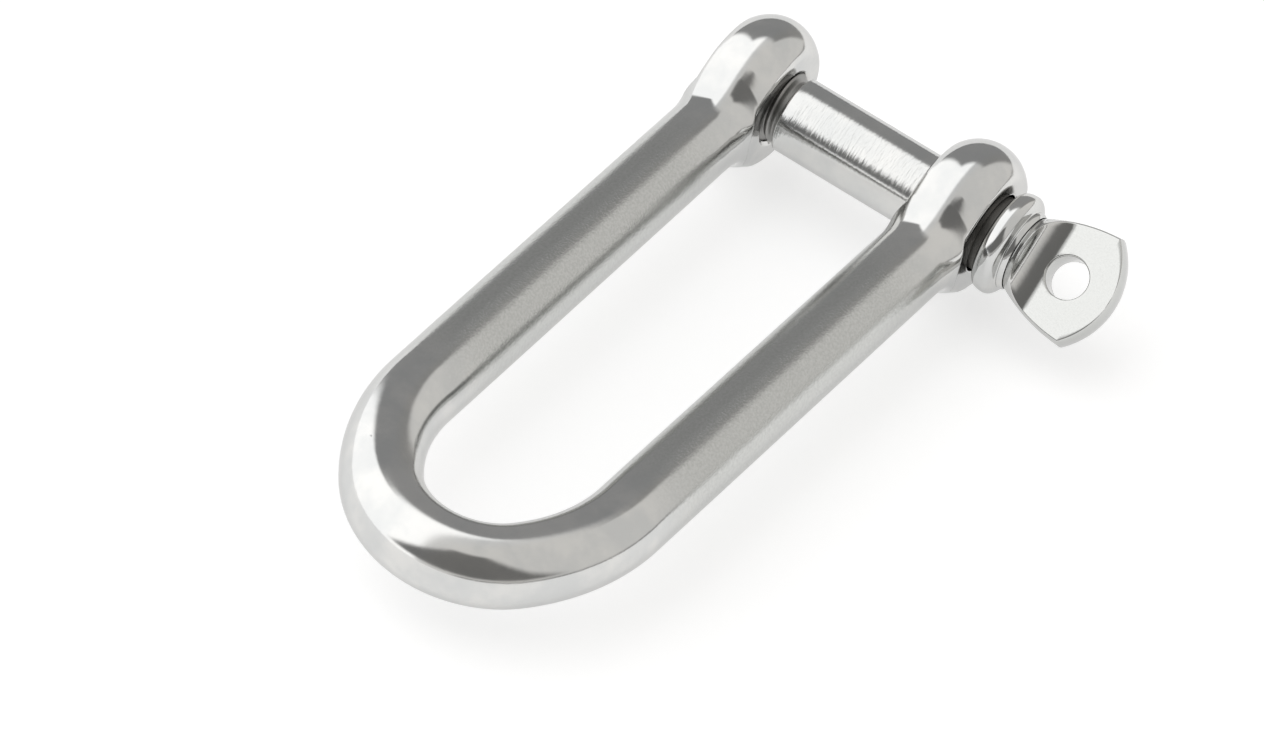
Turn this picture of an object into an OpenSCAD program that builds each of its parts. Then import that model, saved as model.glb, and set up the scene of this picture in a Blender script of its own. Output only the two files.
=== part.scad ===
// Long D shackle: a forged U-shaped body with one plain ear and one tapped ear,
// closed by a screw pin with a collar and a flat eye head.
// Frame: the pin's axis is X, with the head at +X. The legs run from the pin
// to the bow at -Y. Z is across the body. The origin is on the pin's axis,
// midway between the ears. All sizes are in millimetres.

/* [Body] */
// Diameter of the round bar that the body is forged from
bar_d = 10; // [9.6:0.1:10.4]
// Clear width between the legs where the bow starts
inside_w = 20; // [19:0.5:24]
// Clear length from the pin's axis to the inside of the bow
inside_l = 87; // [70:1:110]
// Stretch of the bow beyond a half circle: its tip reaches twice this further
bow_stretch = 2.6; // [1:0.2:3]
// Angle by which each leg leans outward towards its ear
leg_splay = 0.4; // [0:0.05:0.6]

/* [Ears] */
// Outer radius of each ear about the pin's axis
ear_r = 10; // [9.6:0.1:10.4]
// Radius of the rounding round an ear's rim
ear_round = 5.6; // [5.4:0.1:6]
// Thickness of an ear between its machined flats
ear_t = 9.1; // [8.8:0.1:9.4]
// Radius of the spot faces that clear the root of the leg
spot_r = 8.6; // [8.4:0.1:9]
// Radius of the ball inside each ear that the leg is blended to
ear_core_r = 9; // [8.8:0.1:9.1]
// Radius of the concave blend from an ear into its leg
ear_blend_r = 11.5; // [9:0.5:14]
// Clearance between the pin and the plain ear's hole, on the radius
hole_clear = 0.3; // [0.2:0.05:0.4]

/* [Thread] */
// Diameter of the plain cylinder that stands for the 10 mm thread
thread_d = 9.8; // [9.6:0.1:9.8]
// Clearance on the radius between the thread's plain envelope and the tapped hole
thread_clear = 0.1; // [0.05:0.05:0.2]

/* [Pin] */
// Diameter of the pin's plain shank
pin_d = 10; // [10:0.1:10.2]
// Length of thread left showing between the tapped ear and the shank
thread_show = 1.5; // [0.8:0.1:2]
// Gap between the plain ear and the pin's collar as the shackle is stored
collar_gap = 1.05; // [0.6:0.05:1.4]
// Outer radius of the collar
collar_r = 6.75; // [6.4:0.05:7]
// Thickness of the collar along the pin
collar_t = 3.8; // [3.4:0.1:4]
// Radius of the collar's rounded rim
collar_round = 2.2; // [2:0.1:2.6]

/* [Eye head] */
// Length of the head from the collar to its tip
head_l = 13; // [12:0.5:14]
// Distance from the collar to the head's two corners
head_corner_x = 9.75; // [9:0.25:10.5]
// Half width of the head at its two corners
head_half_w = 7.6; // [7:0.1:8]
// Radius of the neck where it meets the collar
neck_r = 4.9; // [4.7:0.1:5]
// Bend radius of the head's flared sides
head_side_r = 22.5; // [18:0.5:30]
// Thickness of the head between its flat faces
head_t = 4.1; // [3.6:0.1:4.6]
// Radius of the run-out from each flat face up to the round neck
runout_r = 3.6; // [3.2:0.2:4]
// Distance from the collar to the start of the flat faces
flat_x = 4.4; // [4.2:0.1:5]
// Diameter of the eye, which takes a marlinspike or seizing wire
eye_d = 5.4; // [4.5:0.1:6]
// Distance from the collar to the eye's centre
eye_x = 6.7; // [6.5:0.1:7.5]
// Angle of the head's width about the pin's axis, from +Y towards +Z
head_turn = 42; // [0:1:90]

/* [Hidden] */
$fn = 96;
e = 0.01;                     // overlap that keeps joined solids one solid
reach = 40;                   // longer than any cut has to be
bar_r = bar_d / 2;
steel = [0.74, 0.74, 0.73];
bright_steel = [0.82, 0.82, 0.81];

// Bow: two side arcs and one tip arc on the bar's centre line. The lines
// between their centres make a 3-4-5 triangle, so the arcs meet smoothly.
half_span = inside_w / 2 + bar_r;
side_x = -4 * bow_stretch;
side_r = half_span - side_x;
tip_r = side_r - 5 * bow_stretch;
tip_y = -(inside_l + bar_r - tip_r);
bow_y = tip_y + 3 * bow_stretch;
join_angle = atan(3 / 4);
run_on = 5;

// Legs: each half of the bar is swung outward about the tip's bend centre
ear_reach = (half_span * sin(leg_splay) - tip_y) / cos(leg_splay);
leg_l = ear_reach + tip_y - bow_y;
ear_x = half_span * cos(leg_splay) + ear_reach * sin(leg_splay);
ear_in = ear_x - ear_t / 2;
ear_out = ear_x + ear_t / 2;

// Blend: an arc that touches the ball inside the ear and the leg's side
blend_x = bar_r + ear_blend_r;
blend_y = sqrt(pow(ear_core_r + ear_blend_r, 2) - blend_x * blend_x);
touch_angle = -atan(blend_y / blend_x);
cheek = bar_r + 0.25;         // half thickness left at the root of the leg
rim_angle = acos(ear_t / 2 / ear_round);

// Tapped hole: both mouths are countersunk
tapped_r = thread_d / 2 + thread_clear;
mouth_l = 0.5;

// Pin: the tip stands a little proud of the tapped ear
tip_x = -ear_out - 0.4;
tip_bevel = 0.8;
shank_x = -ear_in + thread_show;
shank_bevel = 0.25;
collar_x = ear_out + collar_gap;
collar_end = collar_x + collar_t;
collar_fit = 0.05;

// A solid of revolution about X from a profile drawn as [x, radius]
module about_x() {
    rotate([0, 90, 0]) rotate_extrude() mirror([1, 0]) rotate(90) children();
}

// A straight round bar along X between two places
module rod_x(x0, x1, r) {
    translate([x0, 0, 0]) rotate([0, 90, 0]) cylinder(h = x1 - x0, r = r);
}

// A cone frustum along X
module cone_x(x0, x1, r0, r1) {
    translate([x0, 0, 0]) rotate([0, 90, 0]) cylinder(h = x1 - x0, r1 = r0, r2 = r1);
}

// An arc of the bent bar, swept from the angle where it meets its neighbour
module bar_arc(centre, r, start, sweep) {
    translate(centre) rotate(start) mirror([0, sweep < 0 ? 1 : 0, 0])
        rotate_extrude(angle = abs(sweep)) translate([r, 0]) circle(bar_r);
}

// Points along an arc, from one angle to another
function arc(centre, r, from, to, n) =
    [for (i = [0 : n]) let (a = from + (to - from) * i / n) centre + r * [cos(a), sin(a)]];

// Leg, blend and ear ball, turned about the leg's axis from the bow upwards
module leg_and_ball() {
    rotate_extrude() polygon(concat(
        [[0, 0], [bar_r, 0]],
        arc([blend_x, leg_l - blend_y], ear_blend_r, 180, 180 + touch_angle, 10),
        arc([0, leg_l], ear_core_r, touch_angle, 90, 20)));
}

// The ear's disc with its rounded rim, centred on the pin's axis
module ear_disc() about_x() polygon(concat([[-ear_t / 2, 0]],
    arc([0, ear_r - ear_round], ear_round, 180 - rim_angle, rim_angle, 20), [[ear_t / 2, 0]]));

// Leg, side bend and tip bend on the +X side, with the leg parallel to Y
module half_bar() {
    translate([half_span, bow_y, 0]) rotate([-90, 0, 0]) leg_and_ball();
    difference() {
        bar_arc([side_x, bow_y, 0], side_r, -join_angle, join_angle + run_on);
        translate([0, bow_y, -reach / 2]) cube(reach);
    }
    bar_arc([0, tip_y, 0], tip_r, -join_angle, join_angle - 90 - run_on);
}

// Half of the body: the bar swung outward and cut at the middle, with its ear
module half_body() {
    difference() {
        translate([0, tip_y, 0]) rotate(-leg_splay) translate([0, -tip_y, 0]) half_bar();
        translate([-reach, tip_y - reach, -reach / 2]) cube(reach);
        translate([ear_x + cheek, -blend_y, -reach / 2]) cube(reach);
        translate([ear_x - cheek - reach, -blend_y, -reach / 2]) cube(reach);
        rod_x(ear_out, ear_out + reach, spot_r);
        rod_x(ear_in - reach, ear_in, spot_r);
        translate([ear_out, 0, -reach / 2]) cube(reach);
        translate([ear_in - reach, 0, -reach / 2]) cube(reach);
    }
    translate([ear_x, 0, 0]) ear_disc();
}

// The forged body: bow, legs, plain ear at +X and tapped ear at -X
module shackle_body() color(steel) difference() {
    union() {
        half_body();
        mirror([1, 0, 0]) half_body();
    }
    rod_x(ear_in - 1, ear_out + 1, pin_d / 2 + hole_clear);
    rod_x(-ear_out - 1, -ear_in + 1, tapped_r);
    cone_x(-ear_out - e, -ear_out + mouth_l, tapped_r + mouth_l + e, tapped_r);
    cone_x(-ear_in - mouth_l, -ear_in + e, tapped_r, tapped_r + mouth_l + e);
}

// The pin's collar: a rounded ring that bears on the plain ear
module pin_collar() color(bright_steel) about_x() difference() {
    intersection() {
        translate([collar_x + collar_t / 2, collar_r - collar_round]) circle(collar_round);
        translate([collar_x, 0]) square([collar_t, collar_r]);
    }
    translate([collar_x - 1, 0]) square([collar_t + 2, pin_d / 2 + collar_fit]);
}

// Half outline of the eye head from its axis outward, as [x, radius]
module head_outline() {
    corner = [head_corner_x, head_half_w];
    chord = [head_corner_x, head_half_w - neck_r];
    half_chord = norm(chord) / 2;
    side_drop = sqrt(head_side_r * head_side_r - half_chord * half_chord);
    side_mid = [head_corner_x / 2, (head_half_w + neck_r) / 2];
    side_centre = side_mid + side_drop * [chord[1], -chord[0]] / (2 * half_chord);
    rise = head_l - head_corner_x;
    end_r = (head_half_w * head_half_w + rise * rise) / (2 * rise);
    translate([collar_end, 0]) intersection() {
        translate([head_l - end_r, 0]) circle(end_r);
        translate(side_centre) circle(head_side_r);
        square([head_l, head_half_w]);
    }
}

// What is milled off one side of the head, with its round run-out
module face_cut() {
    translate([collar_end, 0, 0]) rotate([90, 0, 0])
        linear_extrude(height = reach, center = true) union() {
            translate([flat_x, head_t / 2 + runout_r]) circle(runout_r);
            translate([flat_x, head_t / 2]) square([head_l, reach]);
        }
}

// The flat eye head on its round neck
module eye_head() rotate([head_turn, 0, 0]) difference() {
    about_x() head_outline();
    face_cut();
    mirror([0, 0, 1]) face_cut();
    translate([collar_end + eye_x, 0, -reach / 2]) cylinder(h = reach, d = eye_d);
}

// The screw pin: the thread's envelope, plain shank, neck and eye head
module screw_pin() color(bright_steel) {
    about_x() polygon([[tip_x, 0], [tip_x, thread_d / 2 - tip_bevel], [tip_x + tip_bevel, thread_d / 2],
        [shank_x, thread_d / 2], [shank_x, pin_d / 2 - shank_bevel], [shank_x + shank_bevel, pin_d / 2],
        [collar_end + e, pin_d / 2], [collar_end + e, 0]]);
    eye_head();
}

shackle_body();
pin_collar();
screw_pin();
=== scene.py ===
"""A long D shackle: a forged steel body and its screw pin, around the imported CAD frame."""
import math

import bmesh
import bpy
import numpy as np
from mathutils import Matrix, Vector


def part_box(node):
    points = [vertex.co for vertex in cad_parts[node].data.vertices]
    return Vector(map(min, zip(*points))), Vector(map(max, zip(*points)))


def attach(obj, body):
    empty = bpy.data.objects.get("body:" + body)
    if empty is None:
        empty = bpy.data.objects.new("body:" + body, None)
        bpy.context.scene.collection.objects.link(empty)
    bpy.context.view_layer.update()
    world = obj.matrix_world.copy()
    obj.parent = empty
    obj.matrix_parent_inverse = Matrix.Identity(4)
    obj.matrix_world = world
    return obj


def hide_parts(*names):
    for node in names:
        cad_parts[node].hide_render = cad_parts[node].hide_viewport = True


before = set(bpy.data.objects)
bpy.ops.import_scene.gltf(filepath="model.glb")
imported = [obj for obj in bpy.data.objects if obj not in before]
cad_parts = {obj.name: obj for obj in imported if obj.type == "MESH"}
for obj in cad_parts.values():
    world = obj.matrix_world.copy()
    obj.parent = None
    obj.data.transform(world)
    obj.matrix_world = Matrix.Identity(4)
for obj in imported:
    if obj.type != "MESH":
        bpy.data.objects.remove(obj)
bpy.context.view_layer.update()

# ---------------------------------------------------------------- sizes, in millimetres
MM = 0.001
BODY_LO, BODY_HI = (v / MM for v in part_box("shackle_body"))
COLLAR_LO, COLLAR_HI = (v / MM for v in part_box("pin_collar"))
PIN_LO, PIN_HI = (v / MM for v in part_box("screw_pin"))

BAR_R = 5.0                # radius of the forged bar
BOW_STRETCH = 2.6          # the bow's arc centres make a 3-4-5 triangle of this size
HALF_SPAN = 15.0           # from the middle to a leg's centre line, at the bow
LEG_SPLAY = math.radians(0.4)
SIDE_X = -4 * BOW_STRETCH
SIDE_R = HALF_SPAN - SIDE_X
TIP_R = SIDE_R - 5 * BOW_STRETCH
TIP_Y = BODY_LO.y + BAR_R + TIP_R
BOW_Y = TIP_Y + 3 * BOW_STRETCH

EAR_X = HALF_SPAN * math.cos(LEG_SPLAY) + math.tan(LEG_SPLAY) * (
    HALF_SPAN * math.sin(LEG_SPLAY) - TIP_Y)
EAR_R = BODY_HI.y          # outer radius of an ear about the pin's axis
EAR_ROUND = 5.6            # rounding round its rim
EAR_T = 9.1                # thickness of an ear between its flats
EAR_EDGE = 0.4             # softening where a flat meets the rim
EAR_IN = EAR_X - EAR_T / 2
EAR_OUT = EAR_X + EAR_T / 2
SPOT_R = 8.6               # spot faces that clear the root of the leg
CORE_R = 9.0               # ball inside the ear that the leg is blended to
BLEND_R = 11.5             # concave blend from ear to leg
CHEEK = BAR_R + 0.2        # half thickness at the root of the leg
BLEND_X = BAR_R + BLEND_R
BLEND_Y = math.sqrt((CORE_R + BLEND_R) ** 2 - BLEND_X ** 2)
TOUCH_Y = -BLEND_Y * CORE_R / (CORE_R + BLEND_R)
HOLE_R = 5.3               # plain hole
HOLE_EDGE = 0.35

PITCH = 1.5                # thread pitch
THREAD_CREST_R = 4.9
THREAD_ROOT_R = 4.05
TAPPED_CREST_R = 4.22
TAPPED_ROOT_R = 5.08
TIP_X = PIN_LO.x
SHANK_R = 5.0
SHANK_X = -EAR_IN + 1.5    # shoulder between the thread and the plain shank
SHOULDER = 0.3             # rounding of that shoulder
THREAD_END = SHANK_X - 0.35
THREAD_FADE = 0.9          # length over which the thread runs out
TIP_BEVEL = 0.95

COLLAR_X = COLLAR_LO.x
COLLAR_END = COLLAR_HI.x
COLLAR_R = COLLAR_HI.z
HEAD_L = PIN_HI.x - COLLAR_END
CORNER_X = 9.75            # from the collar to the head's two corners
HEAD_HALF_W = 7.6
NECK_R = 4.9
HEAD_SIDE_R = 22.5
HEAD_T = 4.1
RUNOUT_R = 3.6
FLAT_X = 4.4               # from the collar to where the flat faces start
HEAD_EDGE = 0.28           # rounding along the head's outline
EYE_R = 2.7
EYE_X = 6.7
EYE_EDGE = 0.22
HEAD_TURN = math.radians(42)
HEAD_ROOT = 1.2            # how far the head's piece runs back inside the collar
AXIS = np.array([1.0, 0, 0])
HEAD_NORMAL = np.array([0, -math.sin(HEAD_TURN), math.cos(HEAD_TURN)])
HEAD_WIDTH = np.array([0, math.cos(HEAD_TURN), math.sin(HEAD_TURN)])
UNCUT = 1e9                # larger than any radius: nothing is cut off

# ---------------------------------------------------------------- mesh helpers
N_FLAT, N_ROUND, N_ARC = 10, 5, 9          # points of a quarter section: flat, edge, arc
QUARTER = N_FLAT + N_ROUND + N_ARC
AROUND = 4 * QUARTER
BODY_AROUND = 160


def quarter(r, clip, edge, spread):
    """Points (p, q) of a quarter circle of radius r, cut off at p = clip with a rounded edge.
    Uncut, the points up to the cut's edge are spread over that angle instead."""
    if r <= clip:
        a = np.concatenate([np.linspace(0, spread, N_FLAT + N_ROUND + 1)[:-1],
                            np.linspace(spread, math.pi / 2, N_ARC + 1)])
        return np.stack([r * np.cos(a), r * np.sin(a)], 1)
    edge = min(edge, clip * 0.9)
    c = np.array([clip - edge, math.sqrt((r - edge) ** 2 - (clip - edge) ** 2)])
    turn = math.atan2(c[1], c[0])
    flat = [(clip, c[1] * i / N_FLAT) for i in range(N_FLAT)]
    rounding = [c + edge * np.array([math.cos(turn * i / N_ROUND), math.sin(turn * i / N_ROUND)])
                for i in range(N_ROUND)]
    a = np.linspace(turn, math.pi / 2, N_ARC + 1)
    return np.array([*flat, *rounding, *np.stack([r * np.cos(a), r * np.sin(a)], 1)])


def section(r, clip=UNCUT, edge=0.3, spread=math.pi / 2 * (N_FLAT + N_ROUND) / QUARTER):
    """A closed ring of (p, q) points, symmetric about both axes."""
    one = quarter(r, clip, edge, spread)
    two = one[::-1] * [-1, 1]
    half = np.concatenate([one[:-1], two[:-1]])
    return np.concatenate([half, -half])


def virtual_spread(gap, reach):
    """How far an uncut section spreads its points, at some distance before a cut begins."""
    full = math.pi / 2 * (N_FLAT + N_ROUND) / QUARTER
    return full * (0.08 + 0.92 * min(1, max(0, gap) / reach))


def mesh_from(name, verts, faces, body, node, slot):
    """A piece on a CAD body, from points in millimetres."""
    mesh = bpy.data.meshes.new(name)
    mesh.from_pydata([tuple(v * MM) for v in np.asarray(verts)], [], faces)
    piece = bpy.data.objects.new(name, mesh)
    bpy.context.scene.collection.objects.link(piece)
    tidy(piece)
    if node:
        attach(piece, body)
        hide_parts(node)
    return piece


def tidy(piece):
    """Merges doubles, drops what collapsed, and turns every face outward."""
    bm = bmesh.new()
    bm.from_mesh(piece.data)
    bmesh.ops.remove_doubles(bm, verts=bm.verts, dist=1e-8)
    bmesh.ops.dissolve_degenerate(bm, edges=bm.edges, dist=1e-8)
    bmesh.ops.recalc_face_normals(bm, faces=bm.faces)
    bm.to_mesh(piece.data)
    bm.free()
    piece.data.polygons.foreach_set("use_smooth", [True] * len(piece.data.polygons))


def skin(rings, start=None, end=None):
    """Vertices and faces of a surface through equal rings, closed at its ends by a point."""
    verts = [p for ring in rings for p in ring]
    n = len(rings[0])
    faces = [(i * n + k, i * n + (k + 1) % n, (i + 1) * n + (k + 1) % n, (i + 1) * n + k)
             for i in range(len(rings) - 1) for k in range(n)]
    for point, ring in ((start, 0), (end, len(rings) - 1)):
        if point is not None:
            verts.append(point)
            faces += [(ring * n + k, ring * n + (k + 1) % n, len(verts) - 1) for k in range(n)]
    return verts, faces


def rings_about_x(profile):
    """Rings about X through (x, radius) points."""
    turn = np.linspace(0, 2 * math.pi, AROUND, endpoint=False)
    return [[np.array([x, r * math.cos(t), r * math.sin(t)]) for t in turn] for x, r in profile]


def lathe(profile, axis_x, axis_y, axis_z, centre=(0, 0, 0)):
    """Turns (along, radius) points about axis_x, closed at both ends."""
    along, across, up = (np.array(a, float) for a in (axis_x, axis_y, axis_z))
    turn = np.linspace(0, 2 * math.pi, AROUND, endpoint=False)
    rings = [[np.array(centre) + x * along + r * (math.cos(t) * across + math.sin(t) * up)
              for t in turn] for x, r in profile]
    ends = [np.array(centre) + profile[i][0] * along for i in (0, -1)]
    return skin(rings, ends[0], ends[1])


def cut(piece, tool):
    """Takes the tool's solid out of the piece, and removes the tool."""
    boolean = piece.modifiers.new("cut", "BOOLEAN")
    boolean.operation = "DIFFERENCE"
    boolean.solver = "EXACT"
    boolean.object = tool
    applied = bpy.data.meshes.new_from_object(
        piece.evaluated_get(bpy.context.evaluated_depsgraph_get()))
    piece.modifiers.remove(boolean)
    old = piece.data
    piece.data = applied
    bpy.data.meshes.remove(old)
    bpy.data.objects.remove(tool)


def tool_from(verts, faces):
    """A solid to cut with, which rides on no body."""
    return mesh_from("tool", verts, faces, None, None, None)


def fillet_mouth(r, face_x, edge, sign, beyond=2.0, steps=5):
    """Profile points of a hole's rounded mouth, from inside the hole to past the face."""
    a = np.linspace(0, math.pi / 2, steps + 1)
    round_ = [(face_x - sign * edge + sign * edge * math.sin(t), r + edge - edge * math.cos(t)) for t in a]
    return round_ + [(face_x + sign * beyond, r + edge + 0.02)]


def hole_profile(r, lo, hi, edge):
    """Profile of a hole between two faces, with both mouths rounded."""
    return [*fillet_mouth(r, lo, edge, -1)[::-1], *fillet_mouth(r, hi, edge, 1)]


# ---------------------------------------------------------------- screw thread
def thread_radius(x, turn, crest, root, half_crest):
    """Radius of a right-hand 60 degree thread at a place along X and an angle about it."""
    from_crest = abs((x / PITCH - turn / (2 * math.pi)) % 1.0 - 0.5) * PITCH
    return min(crest, max(root, crest - (from_crest - half_crest) * math.sqrt(3)))


def threaded_rod(x0, x1, radius, per_pitch=18):
    """A grid that follows the helix between two square ends. radius(x, turn) is its shape."""
    rows = int(round((x1 - x0) / PITCH * per_pitch)) + per_pitch
    verts = []
    for k in range(rows + 1):
        for j in range(AROUND):
            turn = 2 * math.pi * j / AROUND
            x = min(x1, max(x0, x0 + (k / per_pitch - 1) * PITCH + PITCH * j / AROUND))
            r = radius(x, turn)
            verts.append((x, r * math.cos(turn), r * math.sin(turn)))
    faces = []
    for k in range(rows):
        for j in range(AROUND):
            if j < AROUND - 1:
                ring = (k * AROUND + j, k * AROUND + j + 1, (k + 1) * AROUND + j + 1, (k + 1) * AROUND + j)
            else:
                near, far = (min(rows, k + per_pitch + s) * AROUND for s in (0, 1))
                ring = (k * AROUND + j, near, far, (k + 1) * AROUND + j)
            faces.append(ring)
    return verts, faces


def close_rod(verts, faces, x0, x1):
    """Fans that close a threaded rod's two square ends."""
    for x, ring in ((x0, 0), (x1, len(verts) - AROUND)):
        verts = [*verts, (x, 0, 0)]
        faces = faces + [(ring + j, ring + (j + 1) % AROUND, len(verts) - 1) for j in range(AROUND)]
    return verts, faces


def tapped_thread(x, turn):
    """Radius of the tapped ear's thread, countersunk at both mouths."""
    mouth = min(x + EAR_OUT, -EAR_IN - x)
    countersink = TAPPED_ROOT_R + 0.25 - mouth
    return max(thread_radius(x, turn, TAPPED_ROOT_R, TAPPED_CREST_R, 0.13), min(countersink, 6.0))


def pin_thread(x, turn):
    """Radius of the pin's thread, bevelled at the tip and fading out at the relief."""
    fade = min(1, max(0, (THREAD_END - 0.2 - x) / THREAD_FADE))
    r = thread_radius(x, turn, THREAD_CREST_R, THREAD_ROOT_R, 0.14)
    r = THREAD_ROOT_R + (r - THREAD_ROOT_R) * fade
    return min(r, THREAD_CREST_R - TIP_BEVEL + (x - TIP_X))


# ---------------------------------------------------------------- the forged body
def soft_min(a, b, k):
    """The smaller of two distances, blended where they are within k of each other."""
    k = np.maximum(k, 1e-6)
    t = np.clip(0.5 + 0.5 * (b - a) / k, 0, 1)
    return b + (a - b) * t - k * t * (1 - t)


def soft_max(a, b, k):
    """The larger of two distances, blended in the same way."""
    return -soft_min(-a, -b, k)


def ear_field(x, y, z):
    """Signed distance to an ear and the root of its leg. x is from the ear's middle."""
    out = np.hypot(y, z)
    disc = np.hypot(x, np.maximum(out - (EAR_R - EAR_ROUND), 0)) - EAR_ROUND
    r = np.hypot(x - y * math.tan(LEG_SPLAY), z)
    blend = BLEND_R - np.hypot(r - BLEND_X, y + BLEND_Y)
    root = np.where(y < -BLEND_Y, r - BAR_R, np.where(y < TOUCH_Y, blend, np.hypot(r, y) - CORE_R))
    root = soft_max(root, np.abs(x) - CHEEK, 0.5)
    forged = soft_min(disc, root, 2.0 * np.clip((-2 - y) / 5, 0, 1))
    pocket = np.minimum(np.abs(x) - EAR_T / 2, SPOT_R - out)
    return soft_max(forged, pocket, EAR_EDGE)


def ear_rings():
    """Level rings of an ear from the root of the leg to the top, as [x, y, z] about EAR_X."""
    levels = np.concatenate([np.linspace(-BLEND_Y - 1, -EAR_R, 16)[:-1], np.linspace(-EAR_R, -5, 36)[:-1],
                             EAR_R * np.sin(np.linspace(-math.pi / 6, math.radians(88.5), 110))])
    turn = np.linspace(0, 2 * math.pi, BODY_AROUND, endpoint=False)
    y, turn = np.meshgrid(levels, turn, indexing="ij")
    start = np.minimum(y, 0) * math.tan(LEG_SPLAY)
    lo, hi = np.zeros_like(y), np.full_like(y, 12.0)
    for _ in range(32):
        mid = (lo + hi) / 2
        inside = ear_field(start + mid * np.cos(turn), y, mid * np.sin(turn)) < 0
        lo, hi = np.where(inside, mid, lo), np.where(inside, hi, mid)
    return np.stack([start + lo * np.cos(turn), y, lo * np.sin(turn)], -1)


def bar_rows():
    """Rows of the bar from the bow's tip up the +X leg: centre and outward direction."""
    join = math.atan(3 / 4)
    rows = [(TIP_R * math.cos(a), TIP_Y + TIP_R * math.sin(a), a)
            for a in np.linspace(LEG_SPLAY - math.pi / 2, -join, 40)]
    rows += [(SIDE_X + SIDE_R * math.cos(a), BOW_Y + SIDE_R * math.sin(a), a)
             for a in np.linspace(-join, 0, 40)[1:]]
    rows += [(HALF_SPAN, y, 0) for y in np.linspace(BOW_Y, -BLEND_Y - 1.5, 50)[1:]]
    c, s = math.cos(LEG_SPLAY), math.sin(LEG_SPLAY)
    for x, y, a in rows:
        at = np.array([c * x + s * (y - TIP_Y), c * (y - TIP_Y) - s * x + TIP_Y, 0])
        yield at, np.array([math.cos(a - LEG_SPLAY), math.sin(a - LEG_SPLAY), 0])


def body_rings():
    """Rings from the top of one ear round the bow to the top of the other."""
    turn = np.linspace(0, 2 * math.pi, BODY_AROUND, endpoint=False)[:, None]
    half = [at + BAR_R * (np.cos(turn) * out + np.sin(turn) * [0, 0, 1]) for at, out in bar_rows()]
    half += [ring + [EAR_X, 0, 0] for ring in ear_rings()]
    return [ring * [-1, 1, 1] for ring in half[::-1]] + half[1:]


def make_body():
    """The forged body, with the plain hole and the tapped hole cut in its ears."""
    poles = [np.array([side * EAR_X, EAR_R, 0]) for side in (-1, 1)]
    verts, faces = skin(body_rings(), poles[0], poles[1])
    body = mesh_from("forged_body", verts, faces, "body", "shackle_body", "body_steel")
    hole = hole_profile(HOLE_R, EAR_IN, EAR_OUT, HOLE_EDGE)
    cut(body, tool_from(*lathe(hole, (1, 0, 0), (0, 1, 0), (0, 0, 1))))
    ends = (-EAR_OUT - 0.6, -EAR_IN + 0.6)
    cut(body, tool_from(*close_rod(*threaded_rod(*ends, tapped_thread), *ends)))
    tidy(body)
    return body


# ---------------------------------------------------------------- the screw pin
def head_outline():
    """Radius of the head's turned outline at a distance from the collar, and where its rows go."""
    corner = np.array([CORNER_X, HEAD_HALF_W])
    chord = corner - [0, NECK_R]
    half_chord = np.linalg.norm(chord) / 2
    drop = math.sqrt(HEAD_SIDE_R ** 2 - half_chord ** 2)
    side_c = np.array([CORNER_X / 2, (HEAD_HALF_W + NECK_R) / 2]) + drop * np.array(
        [chord[1], -chord[0]]) / (2 * half_chord)
    rise = HEAD_L - CORNER_X
    end_r = (HEAD_HALF_W ** 2 + rise ** 2) / (2 * rise)
    end_x = HEAD_L - end_r

    def radius(x):
        side = side_c[1] + math.sqrt(max(0, HEAD_SIDE_R ** 2 - (x - side_c[0]) ** 2))
        end = math.sqrt(max(0, end_r ** 2 - (x - end_x) ** 2)) if x > end_x else UNCUT
        return min(side, end)
    sides = np.concatenate([np.linspace(0, 1.6, 30), np.linspace(1.6, CORNER_X - 0.3, 34)[1:],
                            np.linspace(CORNER_X - 0.3, CORNER_X, 6)[1:]])
    corner_turn = math.asin(HEAD_HALF_W / end_r)
    ends = [end_x + end_r * math.cos(a) for a in np.linspace(corner_turn, 0.02, 40)[1:]]
    return radius, [*sides, *ends]


def face_clip(x):
    """Half thickness of the head's flat faces, with the round run-out up to the neck."""
    if x >= FLAT_X:
        return HEAD_T / 2
    if x <= FLAT_X - RUNOUT_R:
        return UNCUT
    return HEAD_T / 2 + RUNOUT_R - math.sqrt(RUNOUT_R ** 2 - (FLAT_X - x) ** 2)


def shank_mesh():
    """The thread, its relief and the plain shank, which ends inside the collar."""
    verts, faces = threaded_rod(TIP_X, THREAD_END, pin_thread)
    verts = [*(np.array(v) for v in verts), TIP_X * AXIS]
    faces += [(j, (j + 1) % AROUND, len(verts) - 1) for j in range(AROUND)]
    profile = [(THREAD_END, THREAD_ROOT_R), (SHANK_X - 0.12, THREAD_ROOT_R),
               (SHANK_X, THREAD_ROOT_R + 0.12), (SHANK_X, SHANK_R - SHOULDER)]
    profile += [(SHANK_X + SHOULDER - SHOULDER * math.cos(a), SHANK_R - SHOULDER + SHOULDER * math.sin(a))
                for a in np.linspace(0.2, math.pi / 2, 6)]
    end = COLLAR_END - 0.25
    profile += [(x, SHANK_R) for x in np.linspace(SHANK_X + SHOULDER, end, 24)[1:]]
    base = len(verts)
    more, more_faces = skin(rings_about_x(profile), end=end * AXIS)
    return verts + more, faces + [tuple(base + i for i in f) for f in more_faces]


def head_mesh():
    """The eye head before its eye is cut, with its rings turned to its flat faces."""
    radius, places = head_outline()
    crown = next(x for x in np.arange(0, FLAT_X, 0.002) if face_clip(x) < radius(x))
    rings = []
    for x in [-HEAD_ROOT, -0.9, -0.6, -0.3, -0.1, *places]:
        r = radius(x) if x > 0 else NECK_R + (SHANK_R - NECK_R) * min(1, -x / 0.3)
        ring = section(r, face_clip(x), HEAD_EDGE, virtual_spread(crown - x, 1.2))
        rings.append([(COLLAR_END + x) * AXIS + p * HEAD_NORMAL + q * HEAD_WIDTH for p, q in ring])
    return skin(rings, (COLLAR_END - HEAD_ROOT) * AXIS, PIN_HI.x * AXIS)


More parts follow.
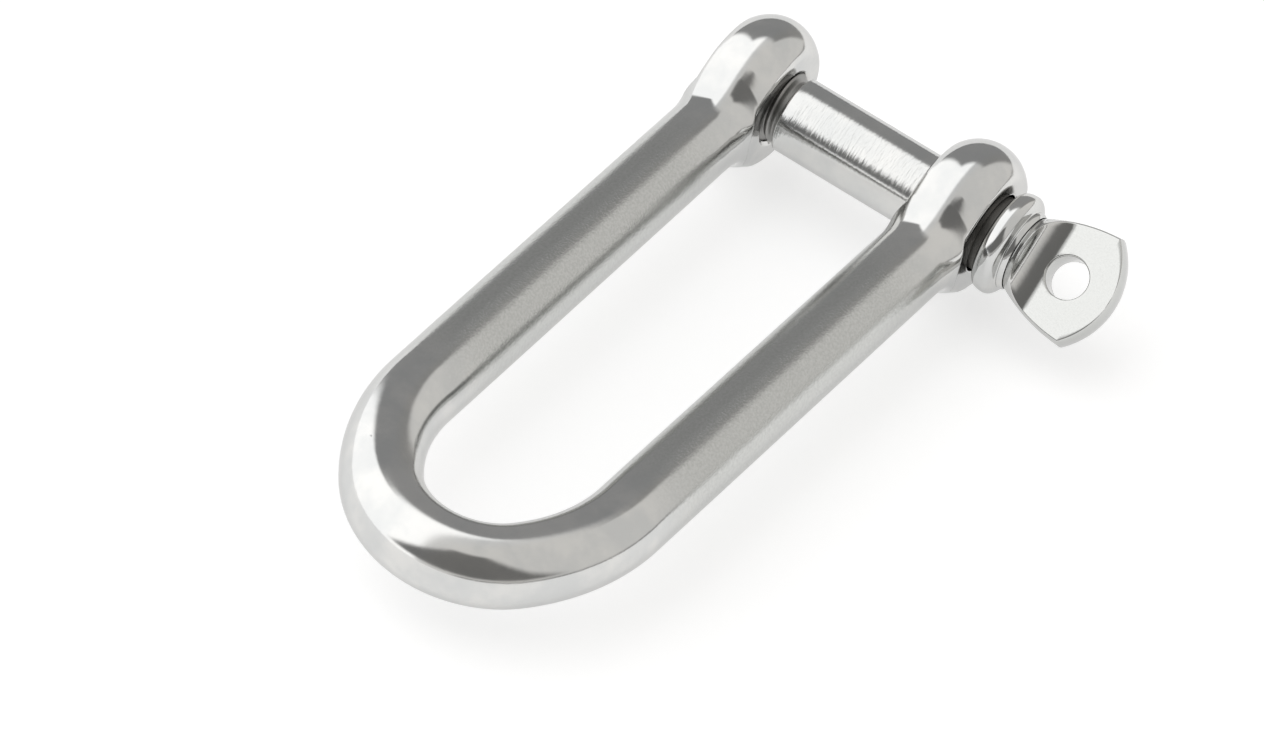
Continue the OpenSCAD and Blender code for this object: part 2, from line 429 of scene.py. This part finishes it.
def make_pin():
    """The pin as two pieces that overlap inside the collar: the shank and the eye head."""
    pin = mesh_from("screw_pin_detail", *shank_mesh(), "pin", "screw_pin", "pin_steel")
    head = mesh_from("eye_head", *head_mesh(), "pin", "screw_pin", "pin_steel")
    eye = hole_profile(EYE_R, -HEAD_T / 2, HEAD_T / 2, EYE_EDGE)
    cut(head, tool_from(*lathe(eye, HEAD_NORMAL, HEAD_WIDTH, AXIS, (COLLAR_END + EYE_X) * AXIS)))
    tidy(head)
    return pin, head


# ---------------------------------------------------------------- the collar
def through(points, steps=5):
    """A smooth curve through the given points."""
    p = np.array([points[0], *points, points[-1]], float)
    t = np.linspace(0, 1, steps, endpoint=False)[:, None]
    spans = [0.5 * (2 * p[i] + (p[i + 1] - p[i - 1]) * t
                    + (2 * p[i - 1] - 5 * p[i] + 4 * p[i + 1] - p[i + 2]) * t ** 2
                    + (3 * p[i] - p[i - 1] - 3 * p[i + 1] + p[i + 2]) * t ** 3)
             for i in range(1, len(p) - 2)]
    return [*np.concatenate(spans), p[-1]]


def make_collar():
    """A rounded ring with a groove behind it and a low bead against the neck."""
    bore = SHANK_R + 0.03
    ring = [(0, 5.9), (0.12, 6.25), (0.5, 6.58), (1.2, COLLAR_R), (1.9, 6.7), (2.4, 6.35), (2.75, 5.8),
            (2.9, 5.4), (3.02, 5.28), (3.2, 5.34), (3.5, 5.22), (COLLAR_END - COLLAR_X, 4.98)]
    loop = [(0, bore), *through(ring), (COLLAR_END - COLLAR_X, bore)]
    rings = rings_about_x([(COLLAR_X + x, r) for x, r in loop])
    verts, faces = skin(rings + rings[:1])
    return mesh_from("collar_ring", verts, faces, "collar", "pin_collar", "pin_steel")


body = make_body()
pin, head = make_pin()
collar = make_collar()


# ---------------------------------------------------------------- materials
BRIGHT = (0.60, 0.605, 0.60, 1)
WARM = (0.68, 0.675, 0.66, 1)
SATIN = (0.585, 0.59, 0.575, 1)
SPECK = (0.36, 0.36, 0.35, 1)
PAINTED_EDGE_SHADE = (0.28, 0.28, 0.275, 1)       # painted shade: darker where the surface turns away from the eye
# painted shade, for the gap between the plain ear and the collar and over the thread
PAINTED_GAP_SHADE = (0.12, 0.115, 0.105, 1)


class Nodes:
    """Short names for building a shader's nodes."""

    def __init__(self, tree):
        self.tree = tree

    def add(self, kind, **settings):
        node = self.tree.nodes.new("ShaderNode" + kind)
        for key, value in settings.items():
            setattr(node, key, value)
        return node

    def put(self, socket, value):
        """Links a node's output to a socket, or sets the socket to a plain value."""
        if isinstance(value, bpy.types.NodeSocket):
            self.tree.links.new(value, socket)
        else:
            socket.default_value = value

    def math(self, operation, *values):
        node = self.add("Math", operation=operation)
        for socket, value in zip(node.inputs, values):
            self.put(socket, value)
        return node.outputs[0]

    def ramp(self, value, lo, hi, to_lo=0.0, to_hi=1.0):
        """A smooth change from to_lo to to_hi as the value goes from lo to hi."""
        node = self.add("MapRange", interpolation_type="SMOOTHSTEP")
        for socket, v in zip(node.inputs, (value, lo, hi, to_lo, to_hi)):
            self.put(socket, v)
        return node.outputs[0]

    def between(self, value, lo, hi, soft):
        """About 1 between lo and hi, easing to 0 over the width soft at each end."""
        return self.math("MULTIPLY", self.ramp(value, lo - soft / 2, lo + soft / 2),
                         self.ramp(value, hi - soft / 2, hi + soft / 2, 1.0, 0.0))

    def blend(self, fac, a, b):
        """A value that goes from a to b as fac goes from 0 to 1."""
        node = self.add("Mix", data_type="FLOAT")
        for socket, value in zip((node.inputs[0], node.inputs[2], node.inputs[3]), (fac, a, b)):
            self.put(socket, value)
        return node.outputs[0]

    def tint(self, fac, a, b):
        """A colour that goes from a to b as fac goes from 0 to 1."""
        node = self.add("Mix", data_type="RGBA")
        for socket, value in zip((node.inputs[0], node.inputs[6], node.inputs[7]), (fac, a, b)):
            self.put(socket, value)
        return node.outputs[2]

    def stretch(self, vector, scale):
        node = self.add("Mapping")
        self.put(node.inputs["Vector"], vector)
        node.inputs["Scale"].default_value = scale
        return node.outputs[0]

    def noise(self, vector, scale, detail=3.0, rough=0.55):
        node = self.add("TexNoise")
        self.put(node.inputs["Vector"], vector)
        for key, value in (("Scale", scale), ("Detail", detail), ("Roughness", rough)):
            node.inputs[key].default_value = value
        return node.outputs[0]

    def bump(self, height, distance, normal=None):
        node = self.add("Bump")
        self.put(node.inputs["Height"], height)
        node.inputs["Distance"].default_value = distance
        if normal:
            self.put(node.inputs["Normal"], normal)
        return node.outputs[0]


def steel(name, shape):
    """Stainless steel. shape(nodes, place, x, y) gives how satin it is, its grain, marks and where shade
    is painted into its colour.
    """
    mat = bpy.data.materials.new(name)
    mat.use_nodes = True
    n = Nodes(mat.node_tree)
    shader = mat.node_tree.nodes["Principled BSDF"]
    place = n.add("TexCoord").outputs["Object"]
    axes = n.add("SeparateXYZ")
    n.put(axes.inputs[0], place)
    satin, grain, grain_depth, marks, mark_depth, gap_shade = shape(n, place, axes.outputs[0], axes.outputs[1])
    cloud = n.noise(place, 160.0, 4.0)
    fine = n.noise(place, 900.0, 3.0)
    shader.inputs["Metallic"].default_value = 1.0
    colour = n.tint(n.ramp(cloud, 0.35, 0.65), BRIGHT, WARM)
    colour = n.tint(satin, colour, SATIN)
    speckle = n.math("MULTIPLY", n.ramp(grain, 0.35, 0.65), n.math("MULTIPLY", satin, 0.25))
    colour = n.tint(speckle, colour, SPECK)
    # painted shade: the colour darkens where the surface turns away from the eye
    edge_shade = n.ramp(n.add("LayerWeight").outputs["Facing"], 0.5, 1.0, 0.0, 0.8)
    colour = n.tint(edge_shade, colour, PAINTED_EDGE_SHADE)
    # painted shade: darker in the gap by the collar and over the thread
    n.put(shader.inputs["Base Color"], n.tint(gap_shade, colour, PAINTED_GAP_SHADE))
    polish = n.ramp(cloud, 0.3, 0.7, 0.09, 0.14)
    rough = n.blend(satin, polish, n.ramp(grain, 0.3, 0.7, 0.08, 0.2))
    rough = n.math("ADD", rough, n.ramp(marks, 0.55, 0.8, 0.0, 0.12))
    n.put(shader.inputs["Roughness"], n.blend(gap_shade, rough, 0.6))
    wavy = n.bump(fine, 0.000005)
    marked = n.bump(marks, mark_depth, wavy)
    n.put(shader.inputs["Normal"], n.bump(n.math("MULTIPLY", grain, satin), grain_depth, marked))
    return mat


def body_finish(n, place, x, y):
    """Polished ears and bow, satin legs with a fine grain, and a few small dings."""
    satin = n.between(y, -0.068, -0.017, 0.014)
    ding = n.ramp(n.noise(place, 420.0, 2.0), 0.74, 0.84)
    return satin, n.noise(place, 3200.0, 3.0, 0.7), 0.000032, ding, 0.00002, 0.0


def pin_finish(n, place, x, y):
    """Turned marks round the shank, a satin head, and painted shade in the gap by the collar and over the
    thread.
    """
    rings = n.noise(n.stretch(place, (2600.0, 420.0, 420.0)), 1.0, 3.0, 0.65)
    head = n.ramp(x, (COLLAR_END + 2) * MM, (COLLAR_END + 4) * MM)
    shank = n.between(x, SHANK_X * MM, EAR_OUT * MM, 0.001)
    satin = n.math("MAXIMUM", head, n.math("MULTIPLY", shank, 0.25))
    # painted shade in the gap between the plain ear's face and the collar
    gap = n.between(x, (EAR_OUT - 0.7) * MM, (COLLAR_X + 0.22) * MM, 0.0003)
    # painted shade over the thread, from the shoulder to the tip
    thread_shade = n.math("MULTIPLY", n.ramp(x, (SHANK_X + 0.1) * MM, (SHANK_X - 0.1) * MM), 0.6)
    gap_shade = n.math("MAXIMUM", n.math("MULTIPLY", gap, 0.85), thread_shade)
    grain = n.blend(0.7, n.noise(place, 5000.0, 3.0), 0.4)
    return satin, grain, 0.000004, n.math("MULTIPLY", rings, shank), 0.00003, gap_shade


body_steel = steel("body_steel", body_finish)
pin_steel = steel("pin_steel", pin_finish)
for piece, mat in ((body, body_steel), (pin, pin_steel), (head, pin_steel), (collar, pin_steel)):
    piece.data.materials.clear()
    piece.data.materials.append(mat)


# ---------------------------------------------------------------- floor, light and camera
SIDE_LIGHT = 0.8           # most of the room
WALL_LIGHT = 1.5           # the white wall at -X
BACK_LIGHT = 0.34          # the dim area behind, and a low strip at +X
FRONT_LIGHT = 0.2          # the dark area in front
BACK_AZ = (78, 150)        # degrees from +X towards +Y
BACK_EL = (-22, 56)        # degrees up from the horizon
FRONT_EL = (7, 66)
FLOOR_GLOW = 0.58          # the floor is a lit white table, so its shadows are faint
FLOOR_HALF = 3.0
LENS, SENSOR = 239.3, 36


def make_floor():
    """A pale floor that the shackle's ears rest on."""
    half, z = FLOOR_HALF, -EAR_R * MM
    mesh = bpy.data.meshes.new("floor")
    corners = [(-half, -half, z), (half, -half, z), (half, half, z), (-half, half, z)]
    mesh.from_pydata(corners, [], [(0, 1, 2, 3)])
    floor = bpy.data.objects.new("floor", mesh)
    bpy.context.scene.collection.objects.link(floor)
    pale = bpy.data.materials.new("pale_floor")
    pale.use_nodes = True
    shader = pale.node_tree.nodes["Principled BSDF"]
    shader.inputs["Base Color"].default_value = (0.6, 0.6, 0.6, 1)
    shader.inputs["Roughness"].default_value = 0.9
    shader.inputs["Emission Color"].default_value = (1, 1, 1, 1)
    shader.inputs["Emission Strength"].default_value = FLOOR_GLOW
    mesh.materials.append(pale)


def make_studio():
    """A pale room by direction: a white wall at -X, a slanted dark area in front, a dim one behind."""
    world = bpy.data.worlds.new("studio")
    world.use_nodes = True
    n = Nodes(world.node_tree)
    toward = n.add("TexCoord").outputs["Generated"]
    axes = n.add("SeparateXYZ")
    n.put(axes.inputs[0], toward)
    x, y, z = axes.outputs
    az = n.math("MULTIPLY", n.math("ARCTAN2", y, x), 180 / math.pi)
    el = n.math("MULTIPLY", n.math("ARCSINE", z), 180 / math.pi)
    skirting = n.math("MULTIPLY", n.between(el, -8, 3, 3), n.ramp(x, 0.2, 0.4))
    light = n.blend(skirting, SIDE_LIGHT, BACK_LIGHT)
    light = n.blend(n.ramp(x, -0.14, -0.24), light, WALL_LIGHT)
    back = n.math("MULTIPLY", n.between(az, *BACK_AZ, 8), n.between(el, *BACK_EL, 10))
    light = n.blend(back, light, BACK_LIGHT)
    left = n.math("ADD", az, n.math("MULTIPLY", el, -0.62))
    right = n.math("ADD", az, n.math("MULTIPLY", el, 0.6))
    dark = n.math("MULTIPLY", n.ramp(left, -132, -122), n.ramp(right, 4, -10))
    light = n.blend(n.math("MULTIPLY", dark, n.between(el, *FRONT_EL, 7)), light, FRONT_LIGHT)
    background = world.node_tree.nodes["Background"]
    warm = n.tint(n.ramp(x, -0.2, 0.1), (1.0, 1.0, 1.0, 1), (1.0, 0.985, 0.96, 1))
    n.put(background.inputs["Color"], warm)
    n.put(background.inputs["Strength"], light)
    bpy.context.scene.world = world


make_floor()
make_studio()

RIGHT = Vector((0.813, 0.554, 0.178))
UP = Vector((-0.498, 0.503, 0.706))
BACK = Vector((0.302, -0.663, 0.685))
DISTANCE = 1.0076
SUBJECT = Vector((0, -0.0347, 0))
AIM = SUBJECT - 0.0082 * RIGHT - 0.0092 * UP

camera_data = bpy.data.cameras.new("camera")
camera_data.lens = LENS
camera_data.sensor_width = SENSOR
camera_data.clip_end = 20
camera = bpy.data.objects.new("camera", camera_data)
bpy.context.scene.collection.objects.link(camera)
camera.location = SUBJECT + DISTANCE * BACK
back = (camera.location - AIM).normalized()
right = UP.cross(back).normalized()
up = back.cross(right)
camera.matrix_world = Matrix((
    (right.x, up.x, back.x, camera.location.x),
    (right.y, up.y, back.y, camera.location.y),
    (right.z, up.z, back.z, camera.location.z),
    (0, 0, 0, 1)))
bpy.context.scene.camera = camera
bpy.context.scene.view_settings.view_transform = "Standard"
